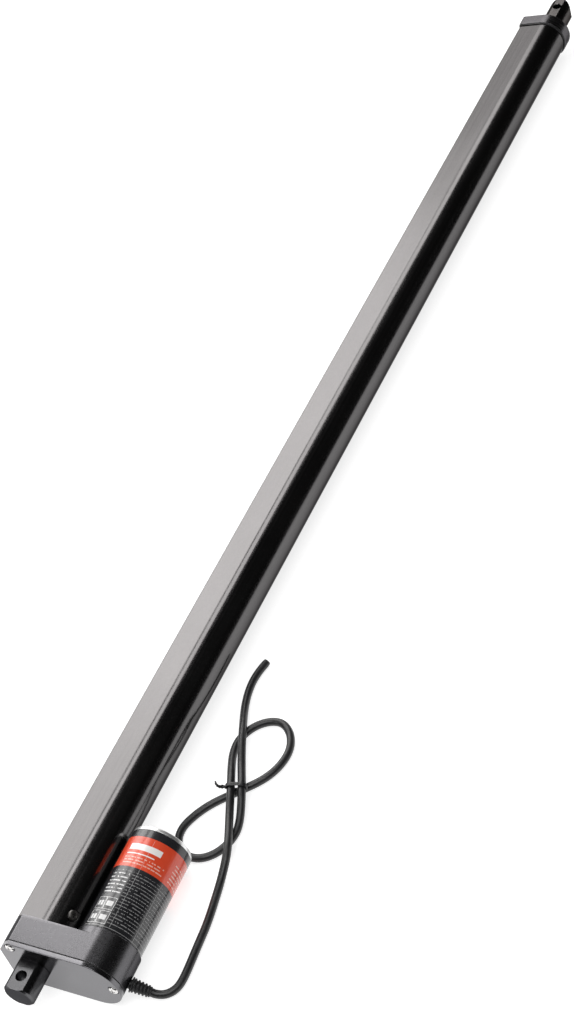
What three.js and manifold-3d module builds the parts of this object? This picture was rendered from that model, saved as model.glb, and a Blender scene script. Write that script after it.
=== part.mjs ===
// Linear actuator: a motor beside a tapered aluminium tube, joined by a flat gearbox.
// Units are millimetres. The rod's axis is the Y axis (X = 0, Z = 0); the rod extends towards +Y,
// the motor sits on the +X side, +Z is up and the gearbox's flat bottom lies on Z = -HOUSING_HALF_Z.
// Y = 0 is the end face of the rear clevis.
import * as THREE from 'three';
import { mergeVertices } from 'three/addons/utils/BufferGeometryUtils.js';
import Module from 'manifold-3d';

const wasm = await Module();
wasm.setup();

// ---------------------------------------------------------------- driving dimensions
const STROKE = 762;
const PIN_HOLE_R = 3.2;            // 6.4 mm pin holes
const REAR_HOLE_Y = 9.0;
const FRONT_HOLE_Y = REAR_HOLE_Y + STROKE + 125;   // 896
const BAR_R = 9.65;                // clevis and eyelet bar
const BAR_FLAT = 8.0;              // half thickness over the bar's flats

const HOUSING_LEFT = -19.3;
const HOUSING_HALF_Z = 20;
const HOUSING_CORNER = [8, 9];     // cut of the two left corners, along X and Z
const MOTOR_X = 36.725;            // axis distance = 0.325 * (50 + 13 + 40 + 10)
const COVER_Y0 = 19.3, COVER_Y1 = 22.2;
const GASKET_Y1 = 22.75;
const HOUSING_Y0 = 22.8, CAVITY_Y1 = 36, HOUSING_Y1 = 40, COLLAR_Y1 = 44.6;

const TUBE_R = 15.1, TUBE_LEFT = -18.9, TUBE_LEFT_HALF = 12.1, TUBE_WALL = 2.0;
const TUBE_Y0 = 40.05, TUBE_Y1 = 864.8;
const CAP_PROUD = 1.1, CAP_Y0 = 865.9, CAP_Y1 = 876.3, CAP_SPIGOT_Y0 = 846;

const ROD_R = 9.8, ROD_BORE_R = 7.2, ROD_Y0 = 78.2, ROD_Y1 = 876.6;
const EYE_Y0 = 876.9, EYE_R = 9.5, EYE_BAR_R = 9.4, EYE_FLAT = 8.8;   // round bar with two narrow flats at its hole
const SCREW_R = 5, SCREW_Y1 = 838, NUT_R = 12.6, NUT_Y0 = 50, NUT_Y1 = 78;
const JOURNAL_R = 4;

const MOTOR_R = 18.6, LABEL_R = 19.0, MOTOR_Y0 = 40.4, MOTOR_Y1 = 111.4, END_CAP_Y1 = 114.3;
const MODULE = 0.65;

const CORD_R = 2.5, FLOOR = -HOUSING_HALF_Z;
const TIE_Z = -11.05;             // height of the tie's centre
const BOOT_ANGLE = -27 * Math.PI / 180;

// ---------------------------------------------------------------- helpers
const root = new THREE.Group();
const mat = (color, roughness, metalness) => new THREE.MeshStandardMaterial({ color, roughness, metalness });
const M = {
  graphite: mat(0x3a3a3e, 0.35, 0.8), tube: mat(0x55555a, 0.3, 0.85), black: mat(0x0c0d10, 0.45, 0.2),
  steel: mat(0xb9bbbf, 0.3, 1.0), brass: mat(0xb08a45, 0.35, 1.0), silver: mat(0xd7d7d9, 0.35, 0.9),
  rubber: mat(0x101012, 0.75, 0.0), label: mat(0x17171a, 0.25, 0.0), nylon: mat(0xd9d6cc, 0.5, 0.0),
  copper: mat(0xa5582f, 0.35, 1.0), magnet: mat(0x3b3a3a, 0.7, 0.1), board: mat(0x2f6b46, 0.5, 0.0),
  cord: mat(0x0d0d0f, 0.5, 0.0), tie: mat(0x0b0b0c, 0.6, 0.0), switchb: mat(0x1b1b1d, 0.5, 0.0),
};
function clean(g) {
  g = g.index ? g.toNonIndexed() : g.clone();
  g.deleteAttribute('normal'); g.deleteAttribute('uv');
  return mergeVertices(g, 1e-4);
}
function volume(g) {
  const p = g.attributes.position, i = g.index.array;
  let v = 0;
  const a = new THREE.Vector3(), b = new THREE.Vector3(), c = new THREE.Vector3();
  for (let k = 0; k < i.length; k += 3) {
    a.fromBufferAttribute(p, i[k]); b.fromBufferAttribute(p, i[k + 1]); c.fromBufferAttribute(p, i[k + 2]);
    v += a.dot(b.cross(c));
  }
  return v / 6;
}
function outward(g) {
  if (volume(g) < 0) {
    const i = g.index.array;
    for (let k = 0; k < i.length; k += 3) { const t = i[k]; i[k] = i[k + 1]; i[k + 1] = t; }
  }
  return g;
}
function solid(g) {
  g = outward(clean(g));
  return new wasm.Manifold(new wasm.Mesh({
    numProp: 3,
    vertProperties: new Float32Array(g.attributes.position.array),
    triVerts: new Uint32Array(g.index.array),
  }));
}
function geometry(s) {
  const m = s.getMesh();
  const g = new THREE.BufferGeometry();
  const p = new Float32Array(m.numVert * 3);
  for (let i = 0; i < m.numVert; i++) for (let k = 0; k < 3; k++) p[3 * i + k] = m.vertProperties[i * m.numProp + k];
  g.setAttribute('position', new THREE.BufferAttribute(p, 3));
  g.setIndex(new THREE.BufferAttribute(new Uint32Array(m.triVerts), 1));
  return g;
}
function add(name, g, material) {
  if (!(g instanceof THREE.BufferGeometry)) g = geometry(g);
  const mesh = new THREE.Mesh(outward(clean(g)), material);
  mesh.geometry.computeVertexNormals();
  mesh.name = name;
  root.add(mesh);
  return mesh;
}
// an outline in the X-Z plane, extruded along Y
function path2(points) { return new THREE.Shape(points.map(([x, z]) => new THREE.Vector2(x, -z))); }
function prism(points, y0, y1, holes = []) {
  const g = new THREE.ExtrudeGeometry(path2(points), { depth: y1 - y0, bevelEnabled: false, steps: 1 });
  g.rotateX(-Math.PI / 2);
  g.translate(0, y0, 0);
  if (!holes.length) return g;
  let s = solid(g);
  for (const h of holes) s = s.subtract(solid(prism(h, y0 - 1, y1 + 1)));
  return geometry(s);
}
function circle(r, n, cx = 0, cz = 0, start = 0) {
  return Array.from({ length: n }, (_, i) => {
    const a = start + 2 * Math.PI * i / n;
    return [cx + r * Math.cos(a), cz + r * Math.sin(a)];
  });
}
function arc(cx, cz, r, a0, a1, n) {
  return Array.from({ length: n + 1 }, (_, i) => {
    const a = a0 + (a1 - a0) * i / n;
    return [cx + r * Math.cos(a), cz + r * Math.sin(a)];
  });
}
// closed profile of [radius, y] turned about an axis parallel to Y
function turned(profile, n, x = 0, z = 0) {
  const p = profile.map(([r, y]) => new THREE.Vector2(r, y));
  if (profile[0][0] > 0 || profile[profile.length - 1][0] > 0) p.push(p[0].clone());
  const g = new THREE.LatheGeometry(p, n);
  g.translate(x, 0, z);
  return g;
}
const ring = (r0, r1, y0, y1, n, x = 0, z = 0) => turned([[r0, y0], [r1, y0], [r1, y1], [r0, y1]], n, x, z);
const rod = (r, y0, y1, n, x = 0, z = 0) => prism(circle(r, n, x, z), y0, y1);
function box(x0, x1, y0, y1, z0, z1) {
  const g = new THREE.BoxGeometry(x1 - x0, y1 - y0, z1 - z0);
  g.translate((x0 + x1) / 2, (y0 + y1) / 2, (z0 + z1) / 2);
  return g;
}
function cylinderAlong(dir, r, len, n, at) {
  const g = new THREE.CylinderGeometry(r, r, len, n);
  g.applyQuaternion(new THREE.Quaternion().setFromUnitVectors(new THREE.Vector3(0, 1, 0), dir.clone().normalize()));
  g.translate(at.x, at.y, at.z);
  return g;
}
const V = (x, y, z) => new THREE.Vector3(x, y, z);

// ---------------------------------------------------------------- outlines
function housingOutline(o = 0) {
  // flat left end, cut corners, parallel top and bottom, half round motor end; o moves it inwards
  const L = HOUSING_LEFT + o, H = HOUSING_HALF_Z - o, [cx, cz] = HOUSING_CORNER;
  return [
    [L, -(HOUSING_HALF_Z - cz) + 0.3 * o], [L + cx * 0.45, -H + cz * 0.42], [L + cx, -H],
    ...arc(MOTOR_X, 0, H, -Math.PI / 2, Math.PI / 2, 22),
    [L + cx, H], [L + cx * 0.45, H - cz * 0.42], [L, HOUSING_HALF_Z - cz - 0.3 * o],
  ];
}
function tubeOutline(o = 0, n = 22) {
  // round end about the rod's axis, flat sides tapering to a flat left end with small fillets
  const R = TUBE_R + o, L = TUBE_LEFT - o, w = TUBE_LEFT_HALF + o * 0.85, f = 1.2;
  const d = Math.hypot(L, w), alpha = Math.atan2(w, -L), beta = Math.acos(R / d);
  const t = Math.PI - alpha - beta;              // angle of the tangent point
  const [tx, tz] = [R * Math.cos(t), R * Math.sin(t)];
  const ux = (tx - L) / Math.hypot(tx - L, tz - w), uz = (tz - w) / Math.hypot(tx - L, tz - w);
  const up = [[L, w - f], [L + 0.35, w - 0.4], [L + f * ux, w + f * uz]];
  return [...up.map(([x, z]) => [x, -z]), ...arc(0, 0, R, -t, t, n), ...up.reverse()];
}
function offsetTube(o, n) { return tubeOutline(o, n); }

// ---------------------------------------------------------------- rear cover, gasket, clevis
const COVER_SCREWS = [[-10.3, 16.4], [-10.3, -16.4], [52.6, 0]];
let s = solid(prism(housingOutline(), COVER_Y0, COVER_Y1));
s = s.subtract(solid(rod(6.3, COVER_Y0 - 1, COVER_Y1 + 1, 24)));
for (const [x, z] of COVER_SCREWS) {
  s = s.subtract(solid(rod(1.7, COVER_Y0 - 1, COVER_Y1 + 1, 12, x, z)));
  s = s.subtract(solid(rod(3.35, COVER_Y0 - 1, COVER_Y0 + 1.2, 20, x, z)));
}
add('rear_cover', s, M.graphite);

const cavityHull = (a, b) => {
  // hull of a circle about the rod's axis and one about the motor's axis
  const t = Math.acos((a - b) / MOTOR_X);
  return [...arc(0, 0, a, t, 2 * Math.PI - t, 26), ...arc(MOTOR_X, 0, b, -t, t, 14)];
};
const gasketHoles = COVER_SCREWS.map(([x, z]) => circle(1.75, 12, x, z));
add('cover_gasket', prism(housingOutline(0.3), COVER_Y1 + 0.05, GASKET_Y1, [cavityHull(17.4, 11.5), ...gasketHoles]), M.rubber);

// rear clevis: round bar with two flats, cross hole, spigot through the cover
function flattedBar(r, half, y0, y1, chamfer, n = 32) {
  const outline = [];
  for (const [x, z] of circle(r, n, 0, 0, Math.PI / n)) outline.push([x, Math.max(-half, Math.min(half, z))]);
  const body = solid(prism(outline, y0, y1));
  const cone = solid(turned([[0, y0 - 0.01], [r - chamfer, y0 - 0.01], [r + 0.2, y0 + chamfer + 0.2], [r + 0.2, y1 + 1], [0, y1 + 1]], n));
  return body.intersect(cone);
}
s = flattedBar(BAR_R, BAR_FLAT, 0, 19.25, 1.2);
s = s.add(solid(rod(6.0, 18.5, 26.5, 24)));
s = s.subtract(solid(cylinderAlong(V(0, 0, 1), PIN_HOLE_R, 30, 24, V(0, REAR_HOLE_Y, 0))));
add('rear_clevis', s, M.graphite);

// ---------------------------------------------------------------- gearbox housing
s = solid(prism(housingOutline(), HOUSING_Y0, HOUSING_Y1));
s = s.add(solid(rod(19.9, HOUSING_Y1 - 2, COLLAR_Y1, 44, MOTOR_X, 0)));
s = s.subtract(solid(prism(cavityHull(17.4, 11.5), HOUSING_Y0 - 1, CAVITY_Y1)));
s = s.subtract(solid(rod(11.1, CAVITY_Y1 - 1, HOUSING_Y1 + 1, 32)));            // bearing seat
s = s.subtract(solid(rod(4.6, CAVITY_Y1 - 1, HOUSING_Y1 + 1, 20, MOTOR_X, 0)));  // motor boss hole
s = s.subtract(solid(rod(18.95, HOUSING_Y1 + 0.2, COLLAR_Y1 + 1, 44, MOTOR_X, 0)));
for (const [x, z] of COVER_SCREWS) s = s.subtract(solid(rod(1.6, HOUSING_Y0 - 1, 33, 12, x, z)));
s = s.subtract(solid(cylinderAlong(V(Math.cos(BOOT_ANGLE), 0, Math.sin(BOOT_ANGLE)), 3.6, 12, 16,
  V(MOTOR_X + 15 * Math.cos(BOOT_ANGLE), 29.6, 15 * Math.sin(BOOT_ANGLE)))));       // cable entry
// sloping relief along the front edges beside the tube
for (const k of [1, -1]) {
  const w = new THREE.BufferGeometry();
  const a = [-30, 33.8, 20.6], b = [-30, 41, 18.4], c = [-30, 41, 22], d = [30, 39.4, 20.1], e = [30, 41, 19.6], f = [30, 41, 22];
  const pts = [a, b, c, d, e, f].map(([x, y, z]) => [x, y, z * k]).flat();
  w.setAttribute('position', new THREE.BufferAttribute(new Float32Array(pts), 3));
  w.setIndex([0, 1, 2, 3, 5, 4, 0, 3, 4, 0, 4, 1, 1, 4, 5, 1, 5, 2, 2, 5, 3, 2, 3, 0]);
  s = s.subtract(solid(w));
}
add('gearbox_housing', s, M.graphite);

// cover screws: pan heads with a cross recess, shanks into the housing
COVER_SCREWS.forEach(([x, z], i) => {
  let k = solid(turned([[0, COVER_Y0 - 1.0], [1.6, COVER_Y0 - 0.9], [2.7, COVER_Y0 - 0.3], [3.0, COVER_Y0 + 0.3], [3.0, COVER_Y0 + 1.15], [1.45, COVER_Y0 + 1.15], [1.45, 32.5], [0, 32.5]], 16, x, z));
  for (const q of [0, 1]) k = k.subtract(solid(q ? box(x - 1.7, x + 1.7, COVER_Y0 - 2, COVER_Y0 - 0.2, z - 0.35, z + 0.35) : box(x - 0.35, x + 0.35, COVER_Y0 - 2, COVER_Y0 - 0.2, z - 1.7, z + 1.7)));
  add(`cover_screw_${i + 1}`, k, M.steel);
});

// ---------------------------------------------------------------- outer tube, caps and seals
const innerTube = offsetTube(-TUBE_WALL, 20);
s = solid(prism(tubeOutline(0, 26), TUBE_Y0, TUBE_Y1, [innerTube]));
// a small milled flat on the motor side with a screw in it
const SCREW_DIR = V(Math.cos(37.5 * Math.PI / 180), 0, Math.sin(37.5 * Math.PI / 180)), SCREW_Y = 51.8;
{
  const g = new THREE.BoxGeometry(4, 15, 14);
  g.applyQuaternion(new THREE.Quaternion().setFromUnitVectors(V(1, 0, 0), SCREW_DIR));
  g.translate(SCREW_DIR.x * (TUBE_R + 1.2), 41.5 + 6.5, SCREW_DIR.z * (TUBE_R + 1.2));
  s = s.subtract(solid(g));
  s = s.subtract(solid(cylinderAlong(SCREW_DIR, 1.6, 10, 12, V(SCREW_DIR.x * 13, SCREW_Y, SCREW_DIR.z * 13))));
}
add('outer_tube', s, M.tube);
{
  const prof = [[0, 0], [1.4, 0], [1.4, 1.25], [3.3, 1.3], [3.3, 2.3], [2.4, 3.1], [0, 3.3]].map(([r, y]) => new THREE.Vector2(r, y));
  const g = new THREE.LatheGeometry(prof, 18);
  g.applyQuaternion(new THREE.Quaternion().setFromUnitVectors(V(0, 1, 0), SCREW_DIR));
  g.translate(SCREW_DIR.x * 13.3, SCREW_Y, SCREW_DIR.z * 13.3);
  add('tube_screw', g, M.steel);
}
s = solid(prism(offsetTube(CAP_PROUD, 26), CAP_Y0, CAP_Y1));
{ // chamfered front edge
  s = s.add(solid(prism(offsetTube(-TUBE_WALL - 0.25, 20), CAP_SPIGOT_Y0, CAP_Y0 + 1)));
  s = s.subtract(solid(rod(11.6, CAP_SPIGOT_Y0 - 1, 871, 36)));
  s = s.subtract(solid(rod(10.2, 870, CAP_Y1 + 1, 36)));
}
add('front_cap', s, M.graphite);
add('front_gasket', prism(offsetTube(0.7, 26), TUBE_Y1 + 0.05, CAP_Y0 - 0.05, [offsetTube(-TUBE_WALL, 20)]), M.rubber);
add('guide_bush', ring(9.9, 11.4, 846.5, 862, 36), M.nylon);
add('rod_wiper', turned([[9.95, 863], [11.4, 862.5], [11.4, 870.6], [9.95, 870.6]], 36), M.rubber);

// ---------------------------------------------------------------- rod body
s = solid(rod(ROD_R, ROD_Y0, ROD_Y1, 36)).subtract(solid(rod(ROD_BORE_R, ROD_Y0 - 1, ROD_Y1 + 1, 24)));
add('inner_rod', s, M.steel);
{
  const n = 40, outline = circle(EYE_BAR_R, n, 0, 0, Math.PI / n).map(([x, z]) => [x, Math.max(-EYE_FLAT, Math.min(EYE_FLAT, z))]);
  s = solid(prism(outline, EYE_Y0, FRONT_HOLE_Y + EYE_R + 3));
  const tip = solid(cylinderAlong(V(0, 0, 1), EYE_R, 30, 36, V(0, FRONT_HOLE_Y, 0))).add(solid(box(-12, 12, EYE_Y0 - 5, FRONT_HOLE_Y, -15, 15)));
  s = s.intersect(tip);
  s = s.add(solid(rod(7.05, 862, EYE_Y0 + 0.5, 24)));
  s = s.subtract(solid(cylinderAlong(V(0, 0, 1), PIN_HOLE_R, 30, 24, V(0, FRONT_HOLE_Y, 0))));
  add('rod_end', s, M.steel);
}
s = solid(rod(NUT_R, NUT_Y0, NUT_Y1, 32));
s = s.subtract(solid(rod(SCREW_R + 0.3, NUT_Y0 - 1, NUT_Y1 + 1, 20)));
add('drive_nut', s, M.nylon);

// ---------------------------------------------------------------- lead screw and gears
s = solid(rod(JOURNAL_R, 27, 41, 20)).add(solid(rod(6.4, 40.6, 42.6, 24))).add(solid(rod(SCREW_R, 42, SCREW_Y1, 16)));
add('lead_screw', s, M.steel);
function toothed(z, phase) {
  const r = MODULE * z / 2, rb = r * Math.cos(Math.PI / 9), ra = r + 0.8 * MODULE, rf = r - 1.15 * MODULE;
  const inv = (a) => Math.tan(a) - a;
  const half = (q) => 0.42 * Math.PI / z + inv(Math.PI / 9) - (q <= rb ? 0 : inv(Math.acos(rb / q)));
  const low = Math.max(rf, rb), radii = [low, (low + ra) / 2, ra], out = [];
  for (let k = 0; k < z; k++) {
    const c = phase + 2 * Math.PI * k / z, side = [];
    if (rf < rb - 1e-3) side.push([rf, half(rf)]);
    for (const q of radii) side.push([q, half(q)]);
    for (const [q, h] of side) out.push([q * Math.cos(c - h), q * Math.sin(c - h)]);
    for (const [q, h] of side.reverse()) out.push([q * Math.cos(c + h), q * Math.sin(c + h)]);
  }
  return out;
}
const Z_OUT = 50, Z_IDLE_SMALL = 13, Z_IDLE_BIG = 40, Z_PINION = 10;
const IDLER_X = MODULE * (Z_OUT + Z_IDLE_SMALL) / 2;
const moved = (pts, dx) => pts.map(([x, z]) => [x + dx, z]);
add('output_gear', prism(toothed(Z_OUT, 0), 29.5, 34.3, [circle(JOURNAL_R + 0.05, 20)]), M.nylon);
s = solid(prism(moved(toothed(Z_IDLE_SMALL, Math.PI + Math.PI / Z_IDLE_SMALL), IDLER_X), 28.4, 34.6));
s = s.add(solid(prism(moved(toothed(Z_IDLE_BIG, 0), IDLER_X), 24.6, 28.6)));
s = s.subtract(solid(rod(1.62, 20, 40, 16, IDLER_X, 0)));
add('idler_gear', s, M.nylon);
add('idler_axle', rod(1.5, 22.9, 35.9, 16, IDLER_X, 0), M.steel);
add('rear_bearing', ring(JOURNAL_R + 0.06, 6.5, 27.1, 29.2, 28), M.steel);
add('front_bearing', ring(JOURNAL_R + 0.06, 11.0, 36.05, 39.9, 32), M.steel);

// ---------------------------------------------------------------- motor
s = solid(turned([[5.2, MOTOR_Y0], [MOTOR_R, MOTOR_Y0], [MOTOR_R, MOTOR_Y1], [17.2, MOTOR_Y1], [17.2, MOTOR_Y0 + 1.5], [5.2, MOTOR_Y0 + 1.5]], 44, MOTOR_X));
add('motor_can', s, M.steel);
add('motor_label_sleeve', ring(MOTOR_R + 0.05, LABEL_R, 44.9, 111.3, 44, MOTOR_X), M.label);
s = solid(turned([[0, END_CAP_Y1 + 3], [5.5, END_CAP_Y1 + 3], [6, END_CAP_Y1 + 2.4], [6, END_CAP_Y1], [17.6, END_CAP_Y1], [MOTOR_R, END_CAP_Y1 - 1], [MOTOR_R, MOTOR_Y1 + 0.1], [17.0, MOTOR_Y1 + 0.1], [17.0, MOTOR_Y1 - 2.5], [15.5, MOTOR_Y1 - 2.5], [15.5, MOTOR_Y1 + 1], [3.2, MOTOR_Y1 + 1], [3.2, END_CAP_Y1 + 2], [0, END_CAP_Y1 + 2]], 44, MOTOR_X));
add('motor_end_cap', s, M.silver);
const sector = (r0, r1, a0, a1, n) => [...arc(MOTOR_X, 0, r1, a0, a1, n), ...arc(MOTOR_X, 0, r0, a1, a0, n)];
add('magnet_upper', prism(sector(14.3, 17.0, 0.35, Math.PI - 0.35, 12), 46, 92), M.magnet);
add('magnet_lower', prism(sector(14.3, 17.0, Math.PI + 0.35, 2 * Math.PI - 0.35, 12), 46, 92), M.magnet);
add('motor_shaft', rod(1.55, 24.4, 115.6, 16, MOTOR_X), M.steel);
add('pinion', prism(moved(toothed(Z_PINION, Math.PI + Math.PI / Z_PINION), MOTOR_X), 24.5, 29, [circle(1.6, 16, MOTOR_X)]), M.brass);
{ // five-pole lamination stack
  const out = [];
  for (let k = 0; k < 5; k++) {
    const c = 2 * Math.PI * k / 5;
    for (const [q, a] of [[5, -0.56], [5, -0.3], [11.2, -0.12], [11.6, -0.5], [13.6, -0.5], [13.6, -0.25], [13.6, 0], [13.6, 0.25], [13.6, 0.5], [11.6, 0.5], [11.2, 0.12], [5, 0.3]])
      out.push([MOTOR_X + q * Math.cos(c + a), q * Math.sin(c + a)]);
  }
  add('armature_core', prism(out, 50, 88, [circle(1.6, 16, MOTOR_X)]), M.steel);
}
add('armature_winding', ring(4.0, 11.5, 88.3, 94, 24, MOTOR_X), M.copper);
add('commutator', ring(1.62, 5.0, 95, 104, 20, MOTOR_X), M.copper);
add('brush_holder', ring(8.5, 15.2, 97, 101.5, 24, MOTOR_X), M.switchb);
add('brush_left', box(MOTOR_X - 8.2, MOTOR_X - 5.15, 97.6, 101, -2, 2), M.magnet);
add('brush_right', box(MOTOR_X + 5.15, MOTOR_X + 8.2, 97.6, 101, -2, 2), M.magnet);
add('motor_front_bush', ring(1.65, 4.4, 36.6, 42.5, 20, MOTOR_X), M.brass);
add('motor_rear_bush', ring(1.65, 3.1, 112.6, 116, 20, MOTOR_X), M.brass);

// ---------------------------------------------------------------- limit switches in the tube's narrow side
add('limit_switch_board', box(-16.4, -15.2, 44, 843, -7, 7), M.board);
add('limit_switch_rear', box(-15.1, -8, 43.5, 48.8, -3, 3), M.switchb);
add('limit_switch_front', box(-15.1, -11.2, 840.6, 845.6, -3, 3), M.switchb);

// ---------------------------------------------------------------- strain relief and cable
const bootDir = V(Math.cos(BOOT_ANGLE), 0.10, Math.sin(BOOT_ANGLE)).normalize();
const bootAt = V(MOTOR_X + 14.6 * Math.cos(BOOT_ANGLE), 29.2, 14.6 * Math.sin(BOOT_ANGLE));
{
  const prof = [[0, 0], [2.8, 0], [2.8, 6.1], [4.5, 6.4], [4.5, 7.1]];
  for (let i = 0; i < 5; i++) {
    const y = 7.3 + i * 2.1, r = 4.15 - i * 0.16;
    prof.push([r - 0.75, y], [r, y + 0.35], [r, y + 1.15], [r - 0.75, y + 1.5]);
  }
  prof.push([3.1, 17.6], [2.8, 18.4], [0, 18.4]);
  const g = new THREE.LatheGeometry(prof.map(([r, y]) => new THREE.Vector2(r, y)), 14);
  g.applyQuaternion(new THREE.Quaternion().setFromUnitVectors(V(0, 1, 0), bootDir));
  g.translate(bootAt.x, bootAt.y, bootAt.z);
  add('strain_relief', g, M.rubber);
}

// route of the cable's centre line: from 0.3 mm past the strain relief, over the surface that the gearbox lies on,
// rising in long humps where it passes over itself and through the wire tie
const ROUTE = [
  [66.84, 31.12, -15.35], [68.3, 31.25, -16.03], [71.84, 32.21, -17], [74.99, 34.26, -17.3], [77.35, 37.18, -17.35], [78.7, 40.68, -17.35],
  [79, 46.6, -17.35], [78.6, 54.4, -17.35], [78, 62.4, -17.35], [77.43, 70.41, -17.35], [76.79, 79.4, -17.35], [75.62, 88.35, -17.36],
  [74.14, 97.25, -17.35], [72.85, 105.16, -17.1], [71.77, 113.87, -15.37], [71.04, 122.13, -12.2], [68.82, 129.6, -11.19], [65.28, 137.87, -11.65],
  [61.5, 146.04, -12.24], [58.35, 153.4, -12.17], [55.04, 161.75, -11.36], [51.42, 169.97, -11.36], [47.43, 177.94, -12.69], [43.9, 184.94, -14.41],
  [40.4, 193.01, -16.28], [38.77, 201.66, -17.25], [40.47, 209.3, -17.35], [45.32, 216.72, -17.35], [52.68, 221.55, -17.35], [60.12, 222.24, -17.35],
  [67.29, 217.45, -17.35], [71.88, 209.85, -17.35], [73.41, 202.12, -17.35], [72.21, 193.28, -17.35], [68.79, 185, -17.35], [63.47, 177.8, -17.35],
  [57.81, 172.13, -17.35], [51.38, 165.81, -17.35], [45, 159.45, -17.35], [40.01, 153.21, -17.35], [35.57, 145.38, -17.35], [32.76, 136.97, -17.35],
  [33.65, 129.26, -17.35], [38.68, 122.21, -17.35], [46.77, 119.36, -17.35], [54.4, 120.91, -17.35], [61, 126.46, -17.35], [65.05, 134.38, -17.36],
  [66.5, 143.05, -17.12], [65.36, 150.8, -15.83], [63.03, 159.13, -13.29], [60.05, 167.35, -11.37], [56.62, 174.55, -11.42], [52.54, 182.56, -12],
  [48.8, 190.75, -11.62], [45.66, 198.1, -11], [42.07, 206.33, -11.32], [38.2, 214.21, -13.27], [34.35, 222.01, -15.58], [31.39, 229.34, -16.87],
  [29.04, 238, -17.37], [28.05, 246.93, -17.35], [28.56, 254.9, -17.35], [30.5, 263.7, -17.35],
];
{
  const curve = new THREE.CatmullRomCurve3(ROUTE.map(([x, y, z]) => V(x, y, z)));
  const section = new THREE.Shape(circle(CORD_R, 8).map(([x, y]) => new THREE.Vector2(x, y)));
  add('power_cable', new THREE.ExtrudeGeometry(section, { steps: 80, extrudePath: curve, bevelEnabled: false }), M.cord);
}
{ // wire tie round the two strands, with a twisted tail
  const hw = 6.35, hh = 3.0, t = 0.6;
  const track = (w, h) => [...arc(w - h, 0, h, -Math.PI / 2, Math.PI / 2, 6), ...arc(-(w - h), 0, h, Math.PI / 2, 1.5 * Math.PI, 6)];
  let k = solid(prism(track(hw + t, hh + t), -1.1, 1.1)).subtract(solid(prism(track(hw, hh), -2, 2)));
  k = k.add(solid(box(-hw - t - 7.5, -hw - 0.2, -0.7, 0.7, -0.7, 0.7)));
  const g = geometry(k);
  g.rotateZ(Math.atan2(1.71, 6.67));
  g.translate(55.84, 168.61, TIE_Z);
  add('twist_tie', g, M.tie);
}
export default root;
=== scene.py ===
import bpy, bmesh, math
from mathutils import Vector, Matrix


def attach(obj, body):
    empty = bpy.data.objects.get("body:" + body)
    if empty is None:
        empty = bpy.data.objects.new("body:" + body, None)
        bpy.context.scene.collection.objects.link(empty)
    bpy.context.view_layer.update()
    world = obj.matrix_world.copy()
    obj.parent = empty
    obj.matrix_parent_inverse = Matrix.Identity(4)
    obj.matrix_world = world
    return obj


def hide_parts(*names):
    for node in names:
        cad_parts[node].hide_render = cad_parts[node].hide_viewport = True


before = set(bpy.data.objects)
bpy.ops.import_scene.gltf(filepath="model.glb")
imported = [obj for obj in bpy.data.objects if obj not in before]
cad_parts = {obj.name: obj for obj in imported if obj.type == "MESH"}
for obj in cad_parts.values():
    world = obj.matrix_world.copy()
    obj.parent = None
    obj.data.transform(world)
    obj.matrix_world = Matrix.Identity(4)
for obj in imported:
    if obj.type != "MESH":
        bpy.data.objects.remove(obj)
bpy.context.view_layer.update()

MM = 0.001
SCENE = bpy.context.scene

# ------------------------------------------------------------------ dimensions, millimetres, as in the CAD model
REAR_HOLE_Y, FRONT_HOLE_Y, PIN_R = 9.0, 896.0, 3.2
BAR_R, BAR_FLAT = 9.65, 8.0
LEFT, HALF = -19.3, 20.0
MX = 36.725
TUBE_R, TUBE_LEFT, TUBE_LEFT_HALF = 15.1, -18.9, 12.1
LABEL_R, MOTOR_R = 19.0, 18.6
CORD_R, TIE_Z = 2.5, -11.05
BA = math.radians(-27)

# ------------------------------------------------------------------ mesh helpers
def arc(cx, cz, r, a0, a1, n):
    return [(cx + r * math.cos(a0 + (a1 - a0) * i / n), cz + r * math.sin(a0 + (a1 - a0) * i / n)) for i in range(n + 1)]

def circle(r, n, cx=0.0, cz=0.0):
    return [(cx + r * math.cos(2 * math.pi * i / n), cz + r * math.sin(2 * math.pi * i / n)) for i in range(n)]

def unique(pts, eps=1e-4):
    out = []
    for p in pts:
        if not out or math.dist(p, out[-1]) > eps:
            out.append(p)
    if math.dist(out[0], out[-1]) <= eps:
        out.pop()
    return out

def area(pts):
    return 0.5 * sum(a[0] * b[1] - b[0] * a[1] for a, b in zip(pts, pts[1:] + pts[:1]))

def fillet(pts, r, segs=5, least=12.0):
    """rounds the corners of a closed outline that turn by more than `least` degrees"""
    out, n = [], len(pts)
    for i in range(n):
        a, b, c = (Vector(pts[i - 1]), Vector(pts[i]), Vector(pts[(i + 1) % n]))
        u, v = (a - b), (c - b)
        turn = math.pi - u.angle(v)
        if math.degrees(turn) < least:
            out.append(tuple(b))
            continue
        t = min(r * math.tan(turn / 2), 0.42 * u.length, 0.42 * v.length)
        p, q = b + u.normalized() * t, b + v.normalized() * t
        for k in range(segs + 1):
            s = k / segs
            out.append(tuple(p * (1 - s) ** 2 + b * 2 * s * (1 - s) + q * s * s))
    return unique(out)

def offset(pts, d):
    """closed outline moved inwards by d"""
    if abs(d) < 1e-9:
        return list(pts)
    sign, out, n = (1 if area(pts) > 0 else -1), [], len(pts)
    for i in range(n):
        a, b, c = Vector(pts[i - 1]), Vector(pts[i]), Vector(pts[(i + 1) % n])
        e, f = (b - a).normalized(), (c - b).normalized()
        n1, n2 = Vector((-e.y, e.x)) * sign, Vector((-f.y, f.x)) * sign
        out.append(tuple(b + (n1 + n2) * (d / max(0.3, 1 + n1.dot(n2)))))
    return out

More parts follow.
